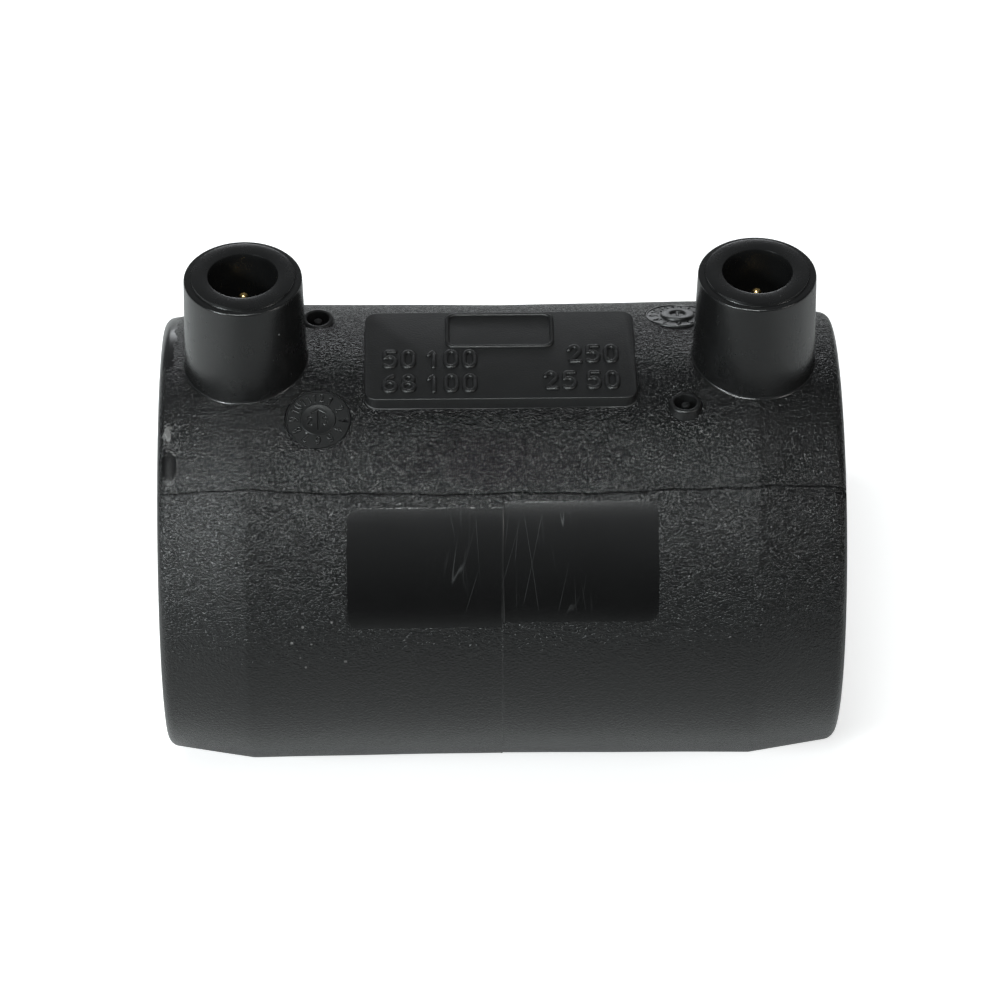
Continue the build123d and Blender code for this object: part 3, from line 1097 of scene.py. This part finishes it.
@dataclass
class Dial:
    """A date dial: a flat disc in the skin with numbers round it and a pointer in the middle."""

    side: Side
    sleeve: Sleeve
    station: float = 26.6
    angle: float = 20.0
    radius: float = 4.8
    inner: float = 2.5
    sink: float = 0.2
    digit_size: float = 1.22
    year_size: float = 1.3
    missing: int = 3  # the number whose place holds a dot or nothing
    numerals: Numerals = field(default_factory=Numerals)

    def place(self) -> Matrix:
        """The dial's face, its x along the pipe and its y to the back."""
        radius = float(self.sleeve.radius(self.station))
        return facing_out(self.side.value * self.station, self.side.value * self.angle, radius - self.sink)

    def pocket(self) -> Object:
        """The tool that clears the sleeve over and just under the dial's face."""
        reach = self.radius + 0.02
        return Shape().lathe([(reach, -0.35), (reach, 1.5)], 96).moved(self.place()).build("dial_pocket")

    def disc(self) -> Shape:
        """The disc with its rings, about its own axis; the right one has a raised, hollow middle."""
        outer, inner = self.radius, self.inner
        if self.side is Side.LEFT:
            profile = [(0.01, 0.06), (inner - 0.35, 0.06), (inner - 0.15, 0.12), (inner, 0.12)]
        else:
            rise = 0.42
            profile = [(0.01, 0.1), (1.05, 0.1), (1.2, rise - 0.05), (1.3, rise), (inner - 0.25, rise)]
            profile += [(inner - 0.08, rise - 0.06), (inner, rise - 0.2), (inner + 0.03, 0.05)]
        profile += [(inner + 0.12, 0.0), (outer - 0.3, 0.0), (outer - 0.22, 0.13), (outer - 0.1, 0.13)]
        profile += [(outer - 0.01, 0.02), (outer, -0.3), (outer - 0.1, -1.6)]
        return Shape().lathe(profile, 128)

    def digits(self, lift: float, radius: float) -> Shape:
        """The numbers 1 to 12 round the disc, each with its top outward."""
        shape, size = Shape(), self.digit_size
        reach = (self.radius + self.inner) / 2 - 0.12
        for hour in range(1, 13):
            if hour == self.missing:
                continue
            part, text = Shape(), str(hour)
            start = (-self.numerals.length(text, size) / 2, -size / 2)
            self.numerals.row(part, text, size, start, radius, lift)
            turn = Matrix.Rotation(-math.radians(hour * 30), 4, "Z") @ Matrix.Translation((0, reach, 0))
            placed = part.moved(turn)
            shape.add(np.concatenate(placed.points), placed.faces)
        return shape

    def pointer(self, lift: float) -> Shape:
        """The arrow in the middle, with a digit on each side of it, or on the right dial a plain bar."""
        shape = Shape()
        if self.side is Side.RIGHT:
            shape.tube([(0.0, y, lift) for y in np.linspace(-0.95, 0.95, 6)], 0.22)
            return shape
        shape.tube([(0.05, y, lift) for y in np.linspace(-1.6, 1.55, 8)], 0.19)
        for s in (-1, 1):
            shape.tube([(0.05 + s * 0.9 * t, 1.6 - 0.55 * t, lift) for t in (0, 0.5, 1)], 0.18)
        for digit, x in (("2", -1.5), ("3", 0.75)):
            self.numerals.row(shape, digit, self.year_size, (x, -0.9), 0.15, lift)
        return shape

    def build(self, material: Material) -> list[Object]:
        """Make the disc and what stands on it: the left one's numbers or the right one's pointer."""
        place = self.place()
        name = f"dial_{self.side.word}"
        disc = self.disc().moved(place).build(name, material, BROAD_SHARP)
        if self.side is Side.LEFT:
            raised = self.digits(0.06, 0.15).moved(place).build(f"{name}_numbers", material, FINE_SHARP)
            arrow = self.pointer(0.06).moved(place).build("arrow_cutter")
            cut(disc, arrow, BROAD_SHARP, overlapping=True)
            dot = Shape().lathe([(0.01, -0.2), (0.2, -0.14), (0.32, 0.0), (0.32, 0.3)], 24)
            dot_place = place @ Matrix.Translation((3.55, -0.1, 0))
            cut(disc, dot.moved(dot_place).build("dot_cutter"), BROAD_SHARP)
            return [disc, raised]
        sunk = self.digits(0.0, 0.17).moved(place).build("number_cutter")
        cut(disc, sunk, BROAD_SHARP, overlapping=True)
        return [disc, self.pointer(0.16).moved(place).build(f"{name}_pointer", material, FINE_SHARP)]


# ---------------------------------------------------------------- the metal parts


@dataclass
class Pin:
    """A brass terminal with its ribbed foot in the wall."""

    side: Side
    station: float = 37.2
    floor: float = 36.4
    foot: float = 4.8  # how deep it goes under the well's floor
    radius: float = 2.0
    waist: float = 2.2
    rib: float = 2.6
    collar: float = 3.0
    tip: float = 46.1
    cone: float = 1.2
    nib: float = 0.75
    nib_height: float = 1.3

    def build(self, material: Material) -> Object:
        """Make the pin."""
        cone, floor = self.tip - self.nib_height - self.cone, self.floor
        foot, collar, rib, waist = floor - self.foot, floor - 0.8, self.rib, self.waist
        profile = [(0.01, foot), (rib - 0.15, foot), (rib, foot + 0.1), (rib, foot + 0.9)]
        profile += [(waist, foot + 1.0), (waist, foot + 1.6), (rib, foot + 1.7), (rib, foot + 2.5)]
        profile += [(waist, foot + 2.6), (waist, collar), (self.collar - 0.1, collar)]
        profile += [(self.collar, collar + 0.1), (self.collar, floor - 0.1), (self.collar - 0.1, floor)]
        profile += [(self.radius + 0.1, floor + 0.01), (self.radius, floor + 0.1), (self.radius, cone - 0.1)]
        profile += [(self.radius - 0.08, cone), (self.nib + 0.06, cone + self.cone)]
        profile += [(self.nib, cone + self.cone + 0.08)]
        for c, s in rounding((0, 18, 36, 54, 72, 85)):
            profile.append((self.nib * c, self.tip - self.nib * (1 - s)))
        place = Matrix.Translation((self.side.value * self.station, 0, 0))
        shape = Shape().lathe(profile, 72).moved(place)
        return shape.build(f"terminal_{self.side.word}", material, BROAD_SHARP)


@dataclass
class HeatingWire:
    """The resistance wire wound under the socket's wall, from one terminal's foot to the other's."""

    station: float = 37.2
    inner_end: float = 14.0
    turns: int = 4
    radius: float = 0.4
    coil: float = 26.1
    lead_top: float = 33.4

    def path(self) -> np.ndarray:
        """The centre line: a lead, a coil, the crossing, a coil and a lead."""
        pitch = (self.station - self.inner_end) / self.turns
        stations = [i * pitch / 2 - self.station for i in range(2 * self.turns + 1)]
        stations += [0.0] + [-x for x in reversed(stations)]
        lead = np.linspace(self.lead_top, self.coil + 1.2, 8)
        points = [(-self.station, 0.0, z) for z in lead]
        for half, (a, b) in enumerate(zip(stations, stations[1:])):
            for share in np.linspace(0, 1, 37)[1:] if half else np.linspace(0.03, 1, 36):
                turn = math.pi * (half + share)
                x = (a + b) / 2 - (b - a) / 2 * math.cos(math.pi * share)
                points.append((x, self.coil * math.sin(turn), self.coil * math.cos(turn)))
        return np.array(points[:-1] + [(self.station, 0.0, z) for z in reversed(lead)])

    def build(self, material: Material) -> Object:
        """Make the wire."""
        shape = Shape()
        shape.tube(self.path(), self.radius)
        return shape.build("wound_wire", material, FINE_SHARP)


# ---------------------------------------------------------------- the whole coupler


@dataclass
class Coupler:
    """The finished coupler, piece by piece."""

    sleeve: Sleeve = field(default_factory=Sleeve)

    def attach(self, piece: Object, slot: Slot, node: str) -> None:
        """Tie a piece to the frame.

        Args:
            piece: the finished object.
            slot: the record's slot for its finish; not used.
            node: the CAD node that it stands for.
        """
        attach(piece, "root")
        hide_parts(node)
        LOG.info("%s: %d faces for %s", piece.name, len(piece.data.polygons), node)

    def build(self) -> None:
        """Make every piece and tie it to the frame."""
        grained = GrainedPlastic(self.sleeve.label).material()
        satin = SmoothPlastic("satin_polyethylene", roughness=0.24, streaks=0.8).material()
        flat = SmoothPlastic("plate_polyethylene", roughness=0.42, grain=0.3, grain_height=0.03).material()
        glossy = SmoothPlastic("dial_polyethylene", roughness=0.36, grain_height=0.01).material()
        brass = Metal("terminal_brass_finish", (0.78, 0.56, 0.24), (0.62, 0.40, 0.15)).material()
        wire = Metal("wire_finish", (0.72, 0.45, 0.25), (0.5, 0.33, 0.2), 0.35).material()

        shell = self.sleeve.shape().build("coupler_sleeve", grained, self.sleeve.sharp)
        cut(shell, self.sleeve.label_tool(), self.sleeve.sharp)
        body = [shell]
        for side in Side:
            dial = Dial(side, self.sleeve)
            indicator = Indicator(side, self.sleeve)
            cut(shell, dial.pocket(), self.sleeve.sharp)
            cut(shell, indicator.pocket(), self.sleeve.sharp)
            body += dial.build(glossy)
            body.append(indicator.build(glossy))
            body.append(Shroud(side, self.sleeve).build(satin))
            self.attach(Pin(side).build(brass), Slot.BRASS, f"terminal_pin_{side.word}")
        plate = Plate(self.sleeve)
        body += [plate.build(flat), plate.numbers(flat)]
        for piece in body:
            self.attach(piece, Slot.PLASTIC, "coupler_body")
        self.attach(HeatingWire().build(wire), Slot.WIRE, "heating_wire")


# ---------------------------------------------------------------- the setting


@dataclass
class Camera:
    """The camera, by its direction and distance from the coupler's middle."""

    azimuth: float = -1.101
    elevation: float = 41.228
    roll: float = 0.182
    distance: float = 730.976
    lens: float = 173.996
    across: float = 0.07
    up: float = 4.376

    def build(self) -> None:
        """Make the camera and look through it."""
        a, e, r = (math.radians(v) for v in (self.azimuth, self.elevation, self.roll))
        back = Vector((math.sin(a) * math.cos(e), -math.cos(a) * math.cos(e), math.sin(e)))
        right = Vector((math.cos(a), math.sin(a), 0))
        up = back.cross(right)
        turned_right = right * math.cos(r) + up * math.sin(r)
        turned_up = up * math.cos(r) - right * math.sin(r)
        matrix = Matrix((turned_right, turned_up, back)).transposed().to_4x4()
        matrix.translation = (back * self.distance + right * self.across + up * self.up) * MM
        data = bpy.data.cameras.new("camera")
        data.lens = self.lens
        data.clip_start = 0.01
        camera = linked("camera", data)
        camera.matrix_world = matrix
        bpy.context.scene.camera = camera


@dataclass(frozen=True)
class Lamp:
    """A soft box aimed at the coupler's middle."""

    name: str
    place: Point3  # metres
    size: Point2  # metres
    power: float
    tint: Colour

    def build(self) -> None:
        """Make the lamp."""
        data = bpy.data.lights.new(self.name, "AREA")
        data.shape = "RECTANGLE"
        data.size, data.size_y = self.size
        data.energy = self.power
        data.color = self.tint
        lamp = linked(self.name, data)
        lamp.location = self.place
        lamp.rotation_euler = (-Vector(self.place)).to_track_quat("-Z", "Y").to_euler()


@dataclass
class Studio:
    """A plain pale floor, a white surround and soft light."""

    floor_level: float = -34.15
    floor_half: float = 2.5  # metres
    floor_glow: float = 0.62  # added for the camera, so that the floor ends in white
    surround_front: float = 0.04
    surround_back: float = 0.19
    surround_high: float = 0.7  # added high up in front
    surround_glow: float = 3.9  # added low down behind
    lamps: tuple[Lamp, ...] = (
        Lamp("overhead_box", (-0.08, -0.295, 0.635), (0.24, 0.10), 3.4, (0.95, 1.0, 0.99)),
        Lamp("front_left_box", (-0.84, -0.80, 0.64), (0.24, 0.26), 12.5, (0.92, 0.99, 1.0)),
        Lamp("front_right_box", (1.2, -0.72, 0.8), (0.3, 0.3), 4.0, (1.0, 0.97, 0.94)),
    )

    def floor(self) -> None:
        """A pale floor that shows white to the camera and keeps the coupler's shadow; to the coupler it
        carries painted shade.
        """
        shader = Shader("floor_finish")
        x, y, _, place = shader.place()
        colour = shader.mix(shader.noise(place, 40.0, 2.0), grey(0.80), grey(0.84))
        surface = shader.node("ShaderNodeBsdfDiffuse", {}, {"Color": colour})
        glow = shader.node("ShaderNodeEmission", {}, {"Color": grey(1.0), "Strength": self.floor_glow})
        camera = shader.node("ShaderNodeAddShader", {}, {0: surface.outputs[0], 1: glow.outputs[0]})
        # painted shade: the floor is darker to the coupler the farther it lies in front, and less so close by
        # and at the sides
        falloff_shade = (-y).ramp(34.0, 120.0) * 0.07 + (-y).ramp(110.0, 520.0) * 0.38 + 0.44
        falloff_shade = falloff_shade - (-x).ramp(40.0, 140.0) * 0.44 - x.ramp(60.0, 160.0) * 0.3
        shaded_tone = shader.mix(falloff_shade, grey(0.95), grey(0.0))
        others = shader.node("ShaderNodeBsdfDiffuse", {}, {"Color": shaded_tone})
        half, level = self.floor_half, self.floor_level * MM
        mesh = bpy.data.meshes.new("floor")
        corners = [(-half, -half, level), (half, -half, level), (half, half, level), (-half, half, level)]
        mesh.from_pydata(corners, [], [(0, 1, 2, 3)])
        mesh.materials.append(shader.close_split(others, camera))
        linked("floor", mesh)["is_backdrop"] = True

    def world(self) -> None:
        """A surround that is white to the camera, and on the coupler pale behind and dark in front."""
        shader = Shader("surround", surround=True)
        _, back, up = shader.split(shader.node("ShaderNodeTexCoord").outputs["Generated"])
        level = back.ramp(-0.1, 0.7) * (self.surround_back - self.surround_front) + self.surround_front
        level = level + back.ramp(0.95, 1.0) * self.surround_glow
        level = level + up * up * (-back).at_least(0.0) * self.surround_high
        plain = shader.node("ShaderNodeBackground", {}, {"Color": grey(1.0, -0.03), "Strength": level})
        white = shader.node("ShaderNodeBackground", {}, {"Color": grey(1.0), "Strength": 1.0})
        bpy.context.scene.world = shader.close_split(plain, white)

    def build(self) -> None:
        """Make the floor, the surround and the lamps."""
        self.floor()
        self.world()
        for lamp in self.lamps:
            lamp.build()


def main() -> None:
    """Build the coupler and its setting."""
    logging.basicConfig(level=logging.INFO, format="%(name)s %(message)s")
    cad_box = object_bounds()
    bpy.context.scene.view_settings.view_transform = "Standard"
    Camera().build()
    Studio().build()
    Coupler().build()
    bpy.context.view_layer.update()
    boxes = {"cad": cad_box, "visual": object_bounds()}
    plain = {name: [[float(v) for v in corner] for corner in box] for name, box in boxes.items()}


if __name__ == "__main__":
    main()
